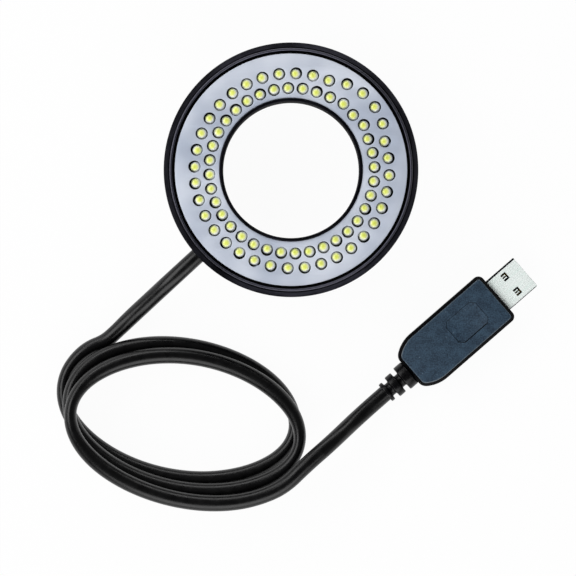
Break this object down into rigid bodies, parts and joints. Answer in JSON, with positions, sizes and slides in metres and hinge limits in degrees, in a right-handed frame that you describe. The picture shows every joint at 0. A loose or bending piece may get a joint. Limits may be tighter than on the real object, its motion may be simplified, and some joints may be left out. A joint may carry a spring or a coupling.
{
  "type": "microscope ring light",
  "caption": "Ring-shaped lamp that clamps round a microscope objective with thumb screws, with a coiled lead ending in a USB plug.",
  "frame": {"origin": "on the ring's axis at the rear face of its mount collar, on the surface that the part lies on", "axes": "+Z along the ring's axis, the way the light shines; the lead leaves the head at 222.5 degrees from +X towards +Y"},
  "size_m": [0.156, 0.1516, 0.025],
  "materials": {
    "anodised_body": "black anodised, turned, with a satin sheen",
    "bezel_metal": "dark grey anodised, satin",
    "face_plastic": "pale blue-grey, satin",
    "board_laminate": "black solder mask over laminate",
    "lamp_resin": "cast resin with a yellow core, glossy",
    "resistor_ceramic": "dark, matt",
    "screw_steel": "zinc plated",
    "insert_brass": "turned",
    "stud_steel": "bright, threaded",
    "knob_plastic": "black, matt",
    "cord_jacket": "black, with a soft sheen",
    "grommet_rubber": "black, matt",
    "tie_nylon": "natural nylon",
    "wire_red": "red insulation",
    "wire_black": "black insulation",
    "relief_rubber": "black, matt",
    "plug_plastic": "dark blue-grey, finely textured",
    "shell_steel": "nickel plated, satin",
    "tongue_plastic": "black",
    "contact_gold": "gold plated"
  },
  "bodies": {
    "head": {"housing": "anodised_body", "mount_collar": "anodised_body", "front_bezel": "bezel_metal", "face_plate": "face_plastic", "led_board": "board_laminate", "inner_leds": "lamp_resin", "outer_leds": "lamp_resin", "resistors": "resistor_ceramic", "fixing_screws": "screw_steel", "collar_screws": "screw_steel", "thread_inserts": "insert_brass", "cable_end": "cord_jacket", "cable_grommet": "grommet_rubber", "cable_tie": "tie_nylon", "wire_red": "wire_red", "wire_black": "wire_black", "cord_lead": "cord_jacket", "cord_coil": "cord_jacket", "cord_tail": "cord_jacket", "strain_relief": "relief_rubber", "plug_body": "plug_plastic", "usb_shell": "shell_steel", "usb_tongue": "tongue_plastic", "usb_contacts": "contact_gold"},
    "thumb_screw_1": {"thumb_stud_1": "stud_steel", "thumb_knob_1": "knob_plastic"},
    "thumb_screw_2": {"thumb_stud_2": "stud_steel", "thumb_knob_2": "knob_plastic"},
    "thumb_screw_3": {"thumb_stud_3": "stud_steel", "thumb_knob_3": "knob_plastic"}
  },
  "joints": [
    {"name": "thumb_screw_1_slide", "type": "slide", "parent": "head", "child": "thumb_screw_1", "axis": [-0.2164, 0.9763, 0], "range_m": [0, 0.004]},
    {"name": "thumb_screw_2_slide", "type": "slide", "parent": "head", "child": "thumb_screw_2", "axis": [-0.7373, -0.6756, 0], "range_m": [0, 0.004]},
    {"name": "thumb_screw_3_slide", "type": "slide", "parent": "head", "child": "thumb_screw_3", "axis": [0.9537, -0.3007, 0], "range_m": [0, 0.004]}
  ]
}
